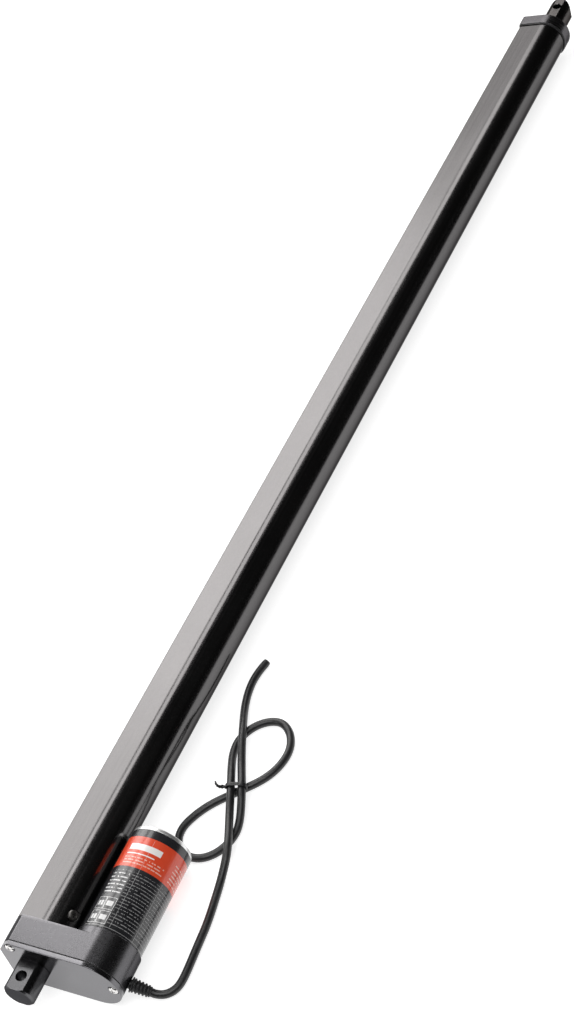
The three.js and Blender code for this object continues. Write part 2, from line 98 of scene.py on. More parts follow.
def obj_from(name, verts, faces):
    me = bpy.data.meshes.new(name)
    me.from_pydata([tuple(c * MM for c in v) for v in verts], [], faces)
    bm = bmesh.new()
    bm.from_mesh(me)
    bmesh.ops.recalc_face_normals(bm, faces=bm.faces)
    bm.to_mesh(me)
    bm.free()
    o = bpy.data.objects.new(name, me)
    SCENE.collection.objects.link(o)
    return o

def rprism(name, outline, y0, y1, r0=0.0, r1=0.0, segs=4):
    """outline in X-Z drawn out along Y from y0 to y1, with its end edges rounded by r0 and r1"""
    rings = []
    def edge(r, at, sgn, order):
        if r <= 0:
            rings.append((0.0, at))
            return
        ks = range(segs + 1) if order else range(segs, -1, -1)
        for k in ks:
            a = math.pi / 2 * k / segs
            rings.append((r * (1 - math.sin(a)), at + sgn * r * (1 - math.cos(a))))
    edge(r0, y0, 1, True)
    edge(r1, y1, -1, False)
    verts, faces, n = [], [], len(outline)
    for o, y in rings:
        verts += [(x, y, z) for x, z in offset(outline, o)]
    for k in range(len(rings) - 1):
        for i in range(n):
            j = (i + 1) % n
            faces.append((k * n + i, k * n + j, (k + 1) * n + j, (k + 1) * n + i))
    faces.append(tuple(range(n)))
    faces.append(tuple((len(rings) - 1) * n + i for i in range(n)))
    return obj_from(name, verts, faces)

def basis(direction):
    d = Vector(direction).normalized()
    a = Vector((0, 0, 1)) if abs(d.z) < 0.9 else Vector((1, 0, 0))
    u = d.cross(a).normalized()
    return u, d, u.cross(d).normalized()

def lathe(name, profile, n=64, at=(0, 0, 0), direction=(0, 1, 0)):
    """profile of (radius, distance) turned about `direction` through `at`; it is closed, or starts and ends on the axis"""
    u, d, w = basis(direction)
    at = Vector(at)
    closed = profile[0][0] > 1e-6 or profile[-1][0] > 1e-6
    verts, rows = [], []
    for r, t in profile:
        if r < 1e-6:
            rows.append([len(verts)])
            verts.append(tuple(at + d * t))
        else:
            rows.append(list(range(len(verts), len(verts) + n)))
            verts += [tuple(at + d * t + (u * math.cos(2 * math.pi * i / n) + w * math.sin(2 * math.pi * i / n)) * r) for i in range(n)]
    faces, pairs = [], list(zip(rows, rows[1:])) + ([(rows[-1], rows[0])] if closed else [])
    for a, b in pairs:
        for i in range(n):
            j = (i + 1) % n
            if len(a) == 1 and len(b) == 1:
                continue
            if len(a) == 1:
                faces.append((a[0], b[j], b[i]))
            elif len(b) == 1:
                faces.append((a[i], a[j], b[0]))
            else:
                faces.append((a[i], a[j], b[j], b[i]))
    return obj_from(name, verts, faces)

def rounded(profile, r=0.35, segs=3, least=25.0):
    """open lathe profile with its corners rounded"""
    out, n = [profile[0]], len(profile)
    for i in range(1, n - 1):
        a, b, c = Vector(profile[i - 1]), Vector(profile[i]), Vector(profile[i + 1])
        u, v = a - b, c - b
        if u.length < 1e-6 or v.length < 1e-6:
            continue
        turn = math.pi - u.angle(v)
        if math.degrees(turn) < least:
            out.append(tuple(b))
            continue
        t = min(r * math.tan(turn / 2), 0.45 * u.length, 0.45 * v.length)
        p, q = b + u.normalized() * t, b + v.normalized() * t
        for k in range(segs + 1):
            s = k / segs
            out.append(tuple(p * (1 - s) ** 2 + b * 2 * s * (1 - s) + q * s * s))
    out.append(profile[-1])
    return out

def cut_profile(r, depth, lead=0.35):
    """a round cutter that chamfers the rim it enters by"""
    return [(0, -1.0), (r + lead + 1.0, -1.0), (r, lead), (r, depth), (0, depth)]

def block(name, x0, x1, y0, y1, z0, z1):
    v = [(x, y, z) for x in (x0, x1) for y in (y0, y1) for z in (z0, z1)]
    return obj_from(name, v, [(0, 1, 3, 2), (4, 6, 7, 5), (0, 4, 5, 1), (2, 3, 7, 6), (0, 2, 6, 4), (1, 5, 7, 3)])

def boolean(o, other, op="DIFFERENCE"):
    m = o.modifiers.new("b", "BOOLEAN")
    m.operation, m.solver, m.object = op, "EXACT", other
    bpy.context.view_layer.update()
    me = bpy.data.meshes.new_from_object(o.evaluated_get(bpy.context.evaluated_depsgraph_get()))
    o.modifiers.clear()
    old, o.data = o.data, me
    bpy.data.meshes.remove(old)
    gone = other.data
    bpy.data.objects.remove(other)
    bpy.data.meshes.remove(gone)
    return o

def bevelled(o, width, segs=2, angle=30.0):
    m = o.modifiers.new("bevel", "BEVEL")
    m.width, m.segments, m.limit_method, m.angle_limit = width * MM, segs, "ANGLE", math.radians(angle)
    m.use_clamp_overlap, m.harden_normals = True, False
    return o

def settle(o, smooth=32.0):
    """applies modifiers, merges doubled points and sets the shading"""
    bpy.context.view_layer.update()
    me = bpy.data.meshes.new_from_object(o.evaluated_get(bpy.context.evaluated_depsgraph_get()))
    o.modifiers.clear()
    old, o.data = o.data, me
    bpy.data.meshes.remove(old)
    bm = bmesh.new()
    bm.from_mesh(me)
    bmesh.ops.remove_doubles(bm, verts=bm.verts, dist=2e-6)
    bmesh.ops.dissolve_degenerate(bm, edges=bm.edges, dist=1e-6)
    bmesh.ops.recalc_face_normals(bm, faces=bm.faces)
    bm.to_mesh(me)
    bm.free()
    me.polygons.foreach_set("use_smooth", [True] * len(me.polygons))
    me.set_sharp_from_angle(angle=math.radians(smooth))
    m = o.modifiers.new("normals", "WEIGHTED_NORMAL")
    m.keep_sharp, m.weight = True, 60
    return o

def place(o, body, nodes, material):
    o.data.materials.clear()
    o.data.materials.append(material)
    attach(o, body)
    if nodes:
        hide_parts(*nodes)
    return o

# ------------------------------------------------------------------ material helpers
class Net:
    """a small node-graph builder"""
    def __init__(self, name, kind="BSDF"):
        self.m = bpy.data.materials.new(name)
        self.m.use_nodes = True
        self.t = self.m.node_tree
        self.t.nodes.clear()
        self.out = self.t.nodes.new("ShaderNodeOutputMaterial")
        self.b = self.t.nodes.new("ShaderNodeBsdfPrincipled")
        self.t.links.new(self.b.outputs[0], self.out.inputs[0])
        self.tc = self.t.nodes.new("ShaderNodeTexCoord")
    def new(self, kind, **kw):
        n = self.t.nodes.new(kind)
        for k, v in kw.items():
            setattr(n, k, v)
        return n
    def put(self, value, socket):
        if isinstance(value, bpy.types.NodeSocket):
            self.t.links.new(value, socket)
        else:
            socket.default_value = value
    def math(self, op, *args, clamp=False):
        n = self.new("ShaderNodeMath", operation=op, use_clamp=clamp)
        for i, a in enumerate(args):
            self.put(a, n.inputs[i])
        return n.outputs[0]
    def noise(self, scale, detail=3.0, rough=0.55, stretch=None, offset=(0, 0, 0)):
        v = self.tc.outputs["Object"]
        mp = self.new("ShaderNodeMapping")
        self.put(v, mp.inputs[0])
        mp.inputs["Location"].default_value = offset
        if stretch:
            mp.inputs["Scale"].default_value = stretch
        n = self.new("ShaderNodeTexNoise")
        self.put(mp.outputs[0], n.inputs["Vector"])
        n.inputs["Scale"].default_value = scale
        n.inputs["Detail"].default_value = detail
        n.inputs["Roughness"].default_value = rough
        return n.outputs["Fac"]
    def ramp(self, v, a, b, lo, hi, clamp=True):
        n = self.new("ShaderNodeMapRange", clamp=clamp)
        for i, x in enumerate((v, a, b, lo, hi)):
            self.put(x, n.inputs[i])
        return n.outputs[0]
    def mix(self, f, a, b):
        n = self.new("ShaderNodeMix", data_type="RGBA")
        self.put(f, n.inputs[0])
        self.put(a if isinstance(a, bpy.types.NodeSocket) else (*a, 1), n.inputs[6])
        self.put(b if isinstance(b, bpy.types.NodeSocket) else (*b, 1), n.inputs[7])
        return n.outputs[2]
    def bump(self, height, strength, distance, normal=None):
        n = self.new("ShaderNodeBump")
        n.inputs["Strength"].default_value = strength
        n.inputs["Distance"].default_value = distance
        self.put(height, n.inputs["Height"])
        if normal is not None:
            self.put(normal, n.inputs["Normal"])
        return n.outputs[0]
    def edge(self, radius, lo=0.02, hi=0.25):
        """1 along convex and concave edges, 0 on open faces"""
        b = self.new("ShaderNodeBevel", samples=6)
        b.inputs["Radius"].default_value = radius
        g = self.new("ShaderNodeNewGeometry")
        d = self.new("ShaderNodeVectorMath", operation="DOT_PRODUCT")
        self.put(b.outputs[0], d.inputs[0])
        self.put(g.outputs["Normal"], d.inputs[1])
        return self.ramp(self.math("SUBTRACT", 1.0, d.outputs["Value"]), lo, hi, 0.0, 1.0)
    def set(self, **kw):
        names = {"color": "Base Color", "rough": "Roughness", "metal": "Metallic", "spec": "Specular IOR Level", "normal": "Normal", "coat": "Coat Weight", "coat_rough": "Coat Roughness", "sheen": "Sheen Weight", "ior": "IOR", "aniso": "Anisotropic", "sub": "Subsurface Weight"}
        for k, v in kw.items():
            if k == "color" and not isinstance(v, bpy.types.NodeSocket):
                v = (*v, 1)
            self.put(v, self.b.inputs[names[k]])
        return self.m

def coated(name, base, rough, metal=0.6, spec=0.5, grain=900, grain_bump=0.12, blotch=0.12, edge_color=(0.5, 0.5, 0.52), edge=0.5, edge_r=0.0005, brush=None, brush_bump=0.05, spread=0.06, coat=0.0, coat_rough=0.15):
    n = Net(name)
    broad = n.noise(22, 4, 0.6)
    fine = n.noise(grain, 3, 0.6, offset=(0.3, 0.1, 0.7))
    col = n.mix(n.ramp(broad, 0.3, 0.7, 0, 1), tuple(c * (1 - blotch) for c in base), tuple(min(1, c * (1 + blotch)) for c in base))
    rgh = n.math("ADD", n.ramp(broad, 0.3, 0.7, rough - spread * 0.5, rough + spread * 0.5), n.ramp(fine, 0.3, 0.7, -spread * 0.5, spread * 0.5))
    height = fine
    if brush:
        lines = n.noise(1.0, 3, 0.6, stretch=brush)
        rgh = n.math("ADD", rgh, n.ramp(lines, 0.3, 0.7, -0.05, 0.05))
        col = n.mix(n.ramp(lines, 0.35, 0.75, 0.0, 0.35), col, tuple(min(1, c * 1.35) for c in base))
    if edge > 0:
        wear = n.math("MULTIPLY", n.edge(edge_r), n.ramp(n.noise(240, 4, 0.65, offset=(2, 5, 1)), 0.38, 0.62, 0.25, 1.0))
        wear = n.math("MULTIPLY", wear, edge)
        col = n.mix(wear, col, edge_color)
    nrm = n.bump(height, grain_bump, 0.00008)
    if brush:
        nrm = n.bump(lines, brush_bump, 0.00005, nrm)
    return n.set(color=col, rough=rgh, metal=metal, spec=spec, normal=nrm, coat=coat, coat_rough=coat_rough)

def plastic(name, base, rough, grain=1400, grain_bump=0.25, blotch=0.08, spec=0.5, sub=0.0, edge=0.25, coat=0.0, metal=0.0, dust=None):
    n = Net(name)
    broad = n.noise(40, 3, 0.6)
    fine = n.noise(grain, 2, 0.5)
    col = n.mix(n.ramp(broad, 0.3, 0.7, 0, 1), tuple(c * (1 - blotch) for c in base), tuple(min(1, c * (1 + blotch)) for c in base))
    if edge > 0:
        col = n.mix(n.math("MULTIPLY", n.edge(0.0004), edge), col, tuple(min(1, c * 1.5 + 0.03) for c in base))
    if dust:
        col = n.mix(n.ramp(n.noise(160, 5, 0.7, offset=(4, 2, 6)), 0.52, 0.8, 0.0, dust), col, (0.35, 0.34, 0.32))
    rgh = n.ramp(fine, 0.3, 0.7, rough - 0.05, rough + 0.07)
    return n.set(color=col, rough=rgh, metal=metal, spec=spec, normal=n.bump(fine, grain_bump, 0.00006), sub=sub, coat=coat)

# ------------------------------------------------------------------ materials
def tinted(m, f):
    for n in m.node_tree.nodes:
        if n.type == "BSDF_PRINCIPLED":
            n.inputs["Specular Tint"].default_value = (f, f, f, 1)
    return m

GRAPHITE = coated("graphite_coating", (0.118, 0.116, 0.122), 0.27, metal=1.0, grain=500, grain_bump=0.05, blotch=0.08, edge=0.25, edge_color=(0.42, 0.42, 0.44), spread=0.04)
COVER = coated("graphite_cover", (0.150, 0.148, 0.156), 0.20, metal=1.0, grain=500, grain_bump=0.03, blotch=0.05, edge=0.35, edge_color=(0.55, 0.55, 0.57), spread=0.03)
TUBE = coated("tube_anodised", (0.108, 0.105, 0.106), 0.20, metal=1.0, grain=400, grain_bump=0.02, blotch=0.05, edge=0.2, edge_color=(0.4, 0.4, 0.42), brush=(420, 2.0, 420), brush_bump=0.02, spread=0.03)
CAP = coated("cap_anodised", (0.110, 0.107, 0.112), 0.28, metal=1.0, grain=500, grain_bump=0.04, blotch=0.06, edge=0.3, edge_color=(0.45, 0.45, 0.47), brush=(60, 700, 60), brush_bump=0.04, spread=0.04)
CLEVIS = coated("clevis_coating", (0.110, 0.110, 0.114), 0.25, metal=1.0, grain=500, grain_bump=0.05, blotch=0.08, edge=0.45, edge_color=(0.55, 0.55, 0.57), edge_r=0.0006, spread=0.04)
EYE = coated("rod_end_metal", (0.085, 0.080, 0.079), 0.24, metal=1.0, grain=600, grain_bump=0.05, edge=0.5, edge_color=(0.50, 0.50, 0.50), brush=(300, 20, 300), brush_bump=0.04)
for m in (GRAPHITE, TUBE, CAP, CLEVIS, EYE):
    tinted(m, 0.3)
STEEL = coated("zinc_steel", (0.62, 0.62, 0.63), 0.26, metal=1.0, grain=900, grain_bump=0.10, edge=0.35, edge_color=(0.85, 0.85, 0.85))
ROD = coated("rod_stainless", (0.66, 0.66, 0.67), 0.16, metal=1.0, grain=900, grain_bump=0.03, edge=0.2, edge_color=(0.85, 0.85, 0.85), brush=(60, 1500, 60), brush_bump=0.05, spread=0.04)
SCREWS = coated("screw_zinc", (0.74, 0.73, 0.72), 0.22, metal=1.0, grain=1500, grain_bump=0.12, edge=0.4, edge_color=(0.95, 0.95, 0.95), edge_r=0.0003)
DARKSCREW = coated("screw_black_oxide", (0.12, 0.115, 0.11), 0.32, metal=0.9, grain=1500, grain_bump=0.15, edge=0.8, edge_color=(0.62, 0.6, 0.55), edge_r=0.0003)
SILVER = coated("end_cap_plated", (0.80, 0.80, 0.80), 0.30, metal=0.85, grain=900, grain_bump=0.12, edge=0.2, edge_color=(0.95, 0.95, 0.95))
BRASS = coated("sintered_bronze", (0.60, 0.42, 0.20), 0.36, metal=1.0, grain=2200, grain_bump=0.4, edge=0.3, edge_color=(0.85, 0.68, 0.4))
LAMINATION = coated("lamination_steel", (0.36, 0.36, 0.37), 0.34, metal=1.0, grain=900, grain_bump=0.1, edge=0.3, brush=(20, 2600, 20), brush_bump=0.5)
MAGNET = coated("ferrite", (0.055, 0.053, 0.055), 0.55, metal=0.1, grain=1600, grain_bump=0.5, edge=0.3, edge_color=(0.2, 0.2, 0.2))
RUBBER = plastic("rubber_black", (0.012, 0.012, 0.013), 0.62, grain=900, grain_bump=0.3, dust=0.10)
BOOT = plastic("strain_relief_rubber", (0.012, 0.012, 0.013), 0.50, grain=1100, grain_bump=0.3, edge=0.4, dust=0.06)
NYLON = plastic("nylon_natural", (0.72, 0.69, 0.61), 0.42, grain=600, grain_bump=0.15, sub=0.08)
SWITCH = plastic("switch_black", (0.02, 0.02, 0.021), 0.42, grain=1800, grain_bump=0.4)

def winding():
    n = Net("enamelled_copper")
    w = n.new("ShaderNodeTexWave", wave_type="BANDS", bands_direction="DIAGONAL")
    n.put(n.tc.outputs["Object"], w.inputs["Vector"])
    w.inputs["Scale"].default_value, w.inputs["Distortion"].default_value, w.inputs["Detail"].default_value = 900, 1.5, 1
    col = n.mix(w.outputs["Fac"], (0.30, 0.09, 0.03), (0.72, 0.30, 0.13))
    return n.set(color=col, rough=n.ramp(w.outputs["Fac"], 0, 1, 0.35, 0.22), metal=1.0, normal=n.bump(w.outputs["Fac"], 0.6, 0.0002))
COPPER = winding()
COMMUTATOR = coated("commutator_copper", (0.62, 0.30, 0.17), 0.30, metal=1.0, grain=900, grain_bump=0.1, brush=(30, 1800, 30), brush_bump=0.3, edge_color=(0.8, 0.5, 0.35))

def board():
    n = Net("board_green")
    b = n.new("ShaderNodeTexBrick", offset=0.0)
    mp = n.new("ShaderNodeMapping")
    n.put(n.tc.outputs["Object"], mp.inputs[0])
    mp.inputs["Rotation"].default_value = (0, math.radians(90), 0)
    n.put(mp.outputs[0], b.inputs["Vector"])
    b.inputs["Scale"].default_value, b.inputs["Mortar Size"].default_value = 60, 0.03
    b.inputs["Color1"].default_value, b.inputs["Color2"].default_value = (0.02, 0.13, 0.05, 1), (0.022, 0.145, 0.055, 1)
    b.inputs["Mortar"].default_value = (0.05, 0.22, 0.09, 1)
    return n.set(color=b.outputs["Color"], rough=n.ramp(n.noise(800), 0.3, 0.7, 0.3, 0.42), normal=n.bump(n.noise(900), 0.1, 0.00005))
BOARD = board()

def cord_material():
    n = Net("cable_sheath")
    fine = n.noise(1600, 2, 0.5)
    broad = n.noise(60, 4, 0.6)
    col = n.mix(n.ramp(broad, 0.3, 0.7, 0, 1), (0.010, 0.010, 0.011), (0.018, 0.018, 0.019))
    col = n.mix(n.ramp(n.noise(220, 5, 0.7, offset=(3, 1, 2)), 0.55, 0.8, 0.0, 0.10), col, (0.30, 0.30, 0.29))
    return n.set(color=col, rough=n.ramp(broad, 0.3, 0.7, 0.34, 0.44), spec=0.55, normal=n.bump(fine, 0.16, 0.00006))
CORD = cord_material()
TIE = plastic("tie_plastic", (0.010, 0.010, 0.011), 0.36, grain=1200, grain_bump=0.2, edge=0.3)
WIRE_RED = plastic("core_red", (0.45, 0.02, 0.02), 0.35, grain=1500, grain_bump=0.15)
WIRE_BLACK = plastic("core_black", (0.015, 0.015, 0.016), 0.35, grain=1500, grain_bump=0.15)
STRAND = coated("tinned_strand", (0.70, 0.48, 0.34), 0.30, metal=1.0, grain=3000, grain_bump=0.4, edge=0.2, edge_color=(0.9, 0.7, 0.55))

def label_material():
    """printed sleeve: black, a red-orange band and a black ring, with plain rules, bars and empty boxes"""
    n = Net("label_sleeve")
    sp = n.new("ShaderNodeSeparateXYZ")
    n.put(n.tc.outputs["Object"], sp.inputs[0])
    x = n.math("SUBTRACT", n.math("MULTIPLY", sp.outputs[0], 1000.0), MX)
    z = n.math("MULTIPLY", sp.outputs[2], 1000.0)
    v = n.math("MULTIPLY", sp.outputs[1], 1000.0)
    u = n.math("MULTIPLY", n.math("ARCTAN2", z, x), LABEL_R)          # millimetres round the sleeve
    def inside(w, a, b, soft):
        return n.math("MULTIPLY_ADD", n.math("MINIMUM", n.math("SUBTRACT", w, a), n.math("SUBTRACT", b, w)), 1 / soft, 0.5, clamp=True)
    def rect(u0, u1, v0, v1, soft=0.12):
        return n.math("MINIMUM", inside(u, u0, u1, soft), inside(v, v0, v1, soft))
    def frame_(u0, u1, v0, v1, t=0.28):
        return n.math("SUBTRACT", rect(u0, u1, v0, v1), rect(u0 + t, u1 - t, v0 + t, v1 - t), clamp=True)
    def both(*m):
        r = m[0]
        for k in m[1:]:
            r = n.math("MAXIMUM", r, k)
        return r
    def rows(u0, u1, v0, v1, pitch, duty, gap, seed):
        """broken pale rules that stand where small print would be"""
        line = n.math("PINGPONG", n.math("SUBTRACT", v, v0), pitch / 2)
        bar = n.math("MULTIPLY_ADD", n.math("SUBTRACT", line, pitch / 2 * (1 - duty)), 1 / 0.12, 0.5, clamp=True)
        idx = n.math("FLOOR", n.math("DIVIDE", n.math("SUBTRACT", v, v0), pitch))
        cx = n.new("ShaderNodeCombineXYZ")
        n.put(n.math("MULTIPLY", u, gap), cx.inputs[0])
        n.put(n.math("MULTIPLY_ADD", idx, 7.31, seed), cx.inputs[1])
        t = n.new("ShaderNodeTexNoise")
        n.put(cx.outputs[0], t.inputs["Vector"])
        t.inputs["Scale"].default_value, t.inputs["Detail"].default_value = 1.0, 0.0
        dash = n.ramp(t.outputs["Fac"], 0.42, 0.46, 0.0, 1.0)
        return n.math("MULTIPLY", n.math("MULTIPLY", bar, dash), rect(u0, u1, v0, v1))
    d = LABEL_R * math.pi / 180
    pale = both(
        rows(86 * d, 124 * d, 67.0, 83.0, 2.5, 0.30, 0.8, 1.0),
        frame_(105 * d, 124 * d, 56.4, 64.4), frame_(84 * d, 104.2 * d, 56.4, 64.4),
        frame_(105 * d, 124 * d, 47.4, 55.4), frame_(84 * d, 104.2 * d, 47.4, 55.4),
        rect(108.5 * d, 113.5 * d, 58.8, 62.0), rect(115.2 * d, 120.5 * d, 58.8, 62.0), rect(88 * d, 101.0 * d, 58.8, 62.0),
        rect(108.5 * d, 113.5 * d, 49.8, 53.0), rect(115.2 * d, 120.5 * d, 49.8, 53.0), rect(88 * d, 101.0 * d, 49.8, 53.0),
    )
    faint = both(
        rows(28 * d, 82 * d, 48.0, 83.0, 2.0, 0.26, 1.3, 5.0),
        rows(-24 * d, 24 * d, 48.0, 83.0, 2.0, 0.24, 1.3, 9.0),
        rows(-80 * d, -30 * d, 48.0, 83.0, 2.0, 0.24, 1.3, 13.0),
    )
    thin = both(rect(73.6 * d, 74.3 * d, 46.5, 105.2), rect(25.6 * d, 26.3 * d, 46.5, 84.8), rect(-28 * d, -27.3 * d, 46.5, 84.8), rect(-150 * d, 128 * d, 45.9, 46.2))
    redband = n.math("MULTIPLY", inside(v, 85.7, 106.1, 0.15), inside(u, -95 * d, 152 * d, 0.15))
    mark = both(rect(52 * d, 116 * d, 97.2, 101.2), rect(60 * d, 116 * d, 94.3, 95.0))
    small = both(rows(36 * d, 116 * d, 87.4, 93.2, 1.9, 0.36, 1.0, 21.0), rows(-60 * d, 20 * d, 87.4, 100.0, 2.2, 0.3, 0.9, 31.0))
    broad = n.noise(35, 4, 0.6)
    black = n.mix(n.ramp(broad, 0.3, 0.7, 0, 1), (0.011, 0.011, 0.013), (0.020, 0.020, 0.023))
    red = n.mix(n.ramp(broad, 0.3, 0.7, 0, 1), (0.70, 0.055, 0.020), (0.80, 0.085, 0.032))
    col = n.mix(redband, black, red)
    col = n.mix(n.math("MULTIPLY", pale, 0.85), col, (0.80, 0.80, 0.80))
    col = n.mix(n.math("MULTIPLY", faint, 0.42), col, (0.60, 0.60, 0.60))
    col = n.mix(n.math("MULTIPLY", thin, 0.45), col, (0.70, 0.70, 0.70))
    col = n.mix(mark, col, (0.92, 0.90, 0.88))
    col = n.mix(n.math("MULTIPLY", small, 0.70), col, (0.95, 0.72, 0.62))
    fine = n.noise(700, 3, 0.5)
    return n.set(color=col, rough=n.ramp(broad, 0.3, 0.7, 0.20, 0.28), spec=0.6, normal=n.bump(fine, 0.05, 0.00006), coat=0.35, coat_rough=0.12)
LABEL = label_material()

# ------------------------------------------------------------------ outlines
def housing_outline():
    L, H = LEFT, HALF
    p = [(L, -(H - 9)), (L + 3.6, -H + 3.78), (L + 8, -H)] + arc(MX, 0, H, -math.pi / 2, math.pi / 2, 72) + [(L + 8, H), (L + 3.6, H - 3.78), (L, H - 9)]
    return fillet(unique(p), 1.6, 5)

def tube_outline(o=0.0, n=96, r=1.2):
    R, L, w = TUBE_R + o, TUBE_LEFT - o, TUBE_LEFT_HALF + o * 0.85
    d, alpha = math.hypot(L, w), math.atan2(w, -L)
    t = math.pi - alpha - math.acos(R / d)
    p = [(L, -w)] + arc(0, 0, R, -t, t, n) + [(L, w)]
    return fillet(unique(p), max(r + o * 0.5, 0.3), 6)

def cavity(a, b):
    t = math.acos((a - b) / MX)
    return unique(arc(0, 0, a, t, 2 * math.pi - t, 48) + arc(MX, 0, b, -t, t, 30))

COVER_SCREWS = [(-10.3, 16.4), (-10.3, -16.4), (52.6, 0.0)]
HO = housing_outline()

# ------------------------------------------------------------------ rear cover, gasket and clevis
o = rprism("rear_cover_visual", HO, 19.3, 22.2, 0.45, 0.15, 4)
o = boolean(o, lathe("c", [(0, 18), (6.3, 18), (6.3, 24), (0, 24)], 48))
for x, z in COVER_SCREWS:
    o = boolean(o, lathe("c", [(0, -1.0), (4.65, -1.0), (3.35, 0.3), (3.35, 1.2), (1.7, 1.2), (1.7, 5), (0, 5)], 40, (x, 19.3, z)))
place(settle(o), "housing", ["rear_cover"], COVER)

o = rprism("cover_gasket_visual", offset(HO, 0.3), 22.25, 22.75)
o = boolean(o, rprism("c", cavity(17.4, 11.5), 21, 24))
for x, z in COVER_SCREWS:
    o = boolean(o, lathe("c", [(0, 21), (1.75, 21), (1.75, 24), (0, 24)], 24, (x, 0, z)))
place(settle(o), "housing", ["cover_gasket"], RUBBER)

o = lathe("rear_clevis_visual", rounded([(0, 0), (BAR_R - 1.2, 0), (BAR_R, 1.2), (BAR_R, 19.25), (6.0, 19.25), (6.0, 26.2), (5.6, 26.5), (0, 26.5)], 0.35, 3), 96)
o = boolean(o, block("c", -20, 20, -5, 19.25, BAR_FLAT, 20))
o = boolean(o, block("c", -20, 20, -5, 19.25, -20, -BAR_FLAT))
o = boolean(o, block("c", -20, 20, 19.2, 30, BAR_FLAT, 20))
o = boolean(o, block("c", -20, 20, 19.2, 30, -20, -BAR_FLAT))
bevelled(o, 0.22, 2, 28)
settle(o)
for s_ in (1, -1):
    o = boolean(o, lathe("c", cut_profile(PIN_R, 12, 0.3), 48, (0, REAR_HOLE_Y, s_ * BAR_FLAT), (0, 0, -s_)))
place(settle(o), "housing", ["rear_clevis"], CLEVIS)

# ------------------------------------------------------------------ gearbox housing
o = rprism("gearbox_housing_visual", HO, 22.8, 40.0, 0.15, 0.8, 4)
collar = rounded([(0, 38.0), (19.9, 38.0), (19.9, 44.6), (18.95, 44.6), (18.95, 40.2), (0, 40.2)], 0.35, 3)
o = boolean(o, lathe("c", [(0, 38.0), (19.95, 38.0), (19.95, 44.2), (19.75, 44.5), (19.45, 44.6), (0, 44.6)], 128, (MX, 0, 0)), "UNION")
o = boolean(o, lathe("c", [(0, 40.2), (18.95, 40.2), (18.95, 44.4), (19.2, 44.65), (19.2, 46), (0, 46)], 128, (MX, 0, 0)))
o = boolean(o, rprism("c", cavity(17.4, 11.5), 21.8, 36))
o = boolean(o, lathe("c", [(0, 35), (11.1, 35), (11.1, 41), (0, 41)], 64))
o = boolean(o, lathe("c", [(0, 35), (4.6, 35), (4.6, 41), (0, 41)], 40, (MX, 0, 0)))
for x, z in COVER_SCREWS:
    o = boolean(o, lathe("c", [(0, 21), (1.6, 21), (1.6, 33), (0, 33)], 24, (x, 0, z)))
o = boolean(o, lathe("c", [(0, -6), (3.6, -6), (3.6, 4.2), (4.3, 6), (0, 6)], 40, (MX + 15 * math.cos(BA), 29.6, 15 * math.sin(BA)), (math.cos(BA), 0, math.sin(BA))))
for k in (1, -1):
    pts = [(-30, 33.8, 20.6), (-30, 41, 18.4), (-30, 41, 22), (30, 39.4, 20.1), (30, 41, 19.6), (30, 41, 22)]
    o = boolean(o, obj_from("c", [(a, b, c * k) for a, b, c in pts], [(0, 1, 2), (3, 5, 4), (0, 3, 4, 1), (1, 4, 5, 2), (2, 5, 3, 0)]))
place(settle(o), "housing", ["gearbox_housing"], GRAPHITE)

# ------------------------------------------------------------------ screws
def cross_screw(name, profile, at, direction, top, half, width, depth, n=40):
    """a screw head with a tapered cross recess; `top` is how far its crown is along `direction`"""
    s = lathe(name, profile, n, at, direction)
    u, d, w = basis(direction)
    a = Vector(at)
    for p, q in ((u, w), (w, u)):
        v = []
        for hw, hh, t in ((half, width, top + 0.6), (half, width, top - 0.12), (half * 0.42, width * 0.8, top - depth)):
            for sx, sy in ((-1, -1), (1, -1), (1, 1), (-1, 1)):
                v.append(tuple(a + d * t + p * (hw * sx) + q * (hh * sy)))
        f = [(0, 1, 2, 3), (8, 11, 10, 9)]
        for k in (0, 4):
            f += [(k + i, k + 4 + i, k + 4 + (i + 1) % 4, k + (i + 1) % 4) for i in range(4)]
        s = boolean(s, obj_from("c", v, f))
    return s

for i, (x, z) in enumerate(COVER_SCREWS):
    # measured from the cover's outer face, towards -Y
    prof = rounded([(0, 1.05), (0.9, 1.03), (1.9, 0.82), (2.65, 0.42), (3.0, -0.2), (3.0, -1.15), (1.45, -1.15), (1.45, -12.9), (0.9, -13.2), (0, -13.2)], 0.25, 3)
    s = cross_screw("cover_screw_visual_%d" % (i + 1), prof, (x, 19.3, z), (0, -1, 0), 1.05, 1.75, 0.33, 1.0)
    place(settle(s, 38), "housing", ["cover_screw_%d" % (i + 1)], SCREWS)

SD = Vector((math.cos(math.radians(37.5)), 0, math.sin(math.radians(37.5))))
prof = rounded([(0, 3.3), (0.9, 3.28), (1.9, 3.12), (2.8, 2.72), (3.3, 2.1), (3.3, 1.3), (1.4, 1.25), (1.4, 0), (0, 0)], 0.25, 3)
s = cross_screw("tube_screw_visual", prof, tuple(SD * 13.3 + Vector((0, 51.8, 0))), tuple(SD), 3.3, 1.8, 0.35, 1.1)
place(settle(s, 38), "housing", ["tube_screw"], DARKSCREW)

